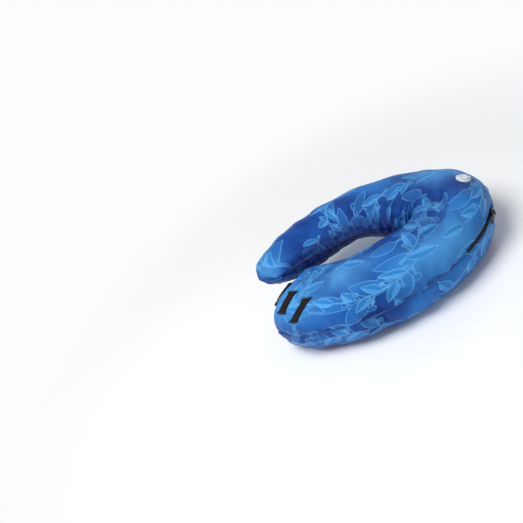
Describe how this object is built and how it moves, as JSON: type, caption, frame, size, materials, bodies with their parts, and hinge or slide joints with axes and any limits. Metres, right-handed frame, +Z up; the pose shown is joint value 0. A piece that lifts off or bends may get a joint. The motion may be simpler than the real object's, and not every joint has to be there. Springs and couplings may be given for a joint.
{
  "type": "inflatable recovery collar",
  "caption": "Inflatable ring collar for a pet: an air bladder in a printed, zipped cloth cover that opens at a hook-and-loop lap, with a plugged air valve.",
  "frame": {"origin": "middle of the ring, on the plane that the collar lies on", "axes": "+Z up out of the neck opening; +X to the closed bend, opposite the lapped ends; the free limb is on the +Y side"},
  "size_m": [0.3191, 0.2234, 0.1039],
  "materials": {
    "cover_cloth": "satin woven polyester with a leaf print",
    "bladder_film": "clear soft vinyl film",
    "seam_welt": "overlocked cloth edge",
    "loop_tape": "brushed loop pile",
    "hook_tape": "woven tape with moulded hooks",
    "zip_tape": "twill tape",
    "zip_teeth": "moulded",
    "zip_metal": "black enamel, worn at the edges",
    "valve_vinyl": "soft white vinyl"
  },
  "bodies": {
    "near_limb": {"cover_top_near": "cover_cloth", "cover_bottom_near": "cover_cloth", "bladder_upper_near": "bladder_film", "bladder_lower_near": "bladder_film", "outer_seam_near": "seam_welt", "outer_seam_back": "seam_welt", "inner_seam_near": "seam_welt", "zip_tape_upper": "zip_tape", "zip_tape_lower": "zip_tape", "zip_teeth_upper": "zip_teeth", "zip_teeth_lower": "zip_teeth", "zip_stops": "zip_metal", "valve_body": "valve_vinyl", "loop_strip_1": "loop_tape", "loop_strip_2": "loop_tape", "loop_strip_3": "loop_tape"},
    "far_limb": {"cover_top_far": "cover_cloth", "cover_bottom_far": "cover_cloth", "bladder_upper_far": "bladder_film", "bladder_lower_far": "bladder_film", "outer_seam_far": "seam_welt", "inner_seam_far": "seam_welt", "hook_strip_1": "hook_tape", "hook_strip_2": "hook_tape", "hook_strip_3": "hook_tape"},
    "zip_slider": {"zip_slider": "zip_metal"},
    "zip_pull": {"zip_pull": "zip_metal"},
    "valve_plug": {"valve_plug": "valve_vinyl"},
    "valve_flap": {"valve_flap": "valve_vinyl"}
  },
  "joints": [
    {"name": "collar_open", "type": "hinge", "parent": "near_limb", "child": "far_limb", "pos_m": [0.16433, 0.0237, 0.04525], "axis": [0, 0, -1], "range_deg": [0, 40], "stiffness_Nm_per_rad": 0.6},
    {"name": "zip_slide", "type": "hinge", "parent": "near_limb", "child": "zip_slider", "pos_m": [0.04609, 0.02919, 0.04525], "axis": [0, 0, -1], "range_deg": [0, 27.78]},
    {"name": "pull_swing", "type": "hinge", "parent": "zip_slider", "child": "zip_pull", "pos_m": [0.15438, -0.04723, 0.04525], "axis": [0, 0, 1], "range_deg": [0, 165]},
    {"name": "plug_hinge", "type": "hinge", "parent": "near_limb", "child": "valve_plug", "pos_m": [0.15362, -0.0092, 0.08158], "axis": [0.1379, 0.9904, 0], "range_deg": [0, 150]},
    {"name": "flap_swing", "type": "hinge", "parent": "near_limb", "child": "valve_flap", "pos_m": [0.14416, -0.00788, 0.07351], "axis": [-0.1379, -0.9904, 0], "range_deg": [0, 35], "stiffness_Nm_per_rad": 0.0002}
  ]
}
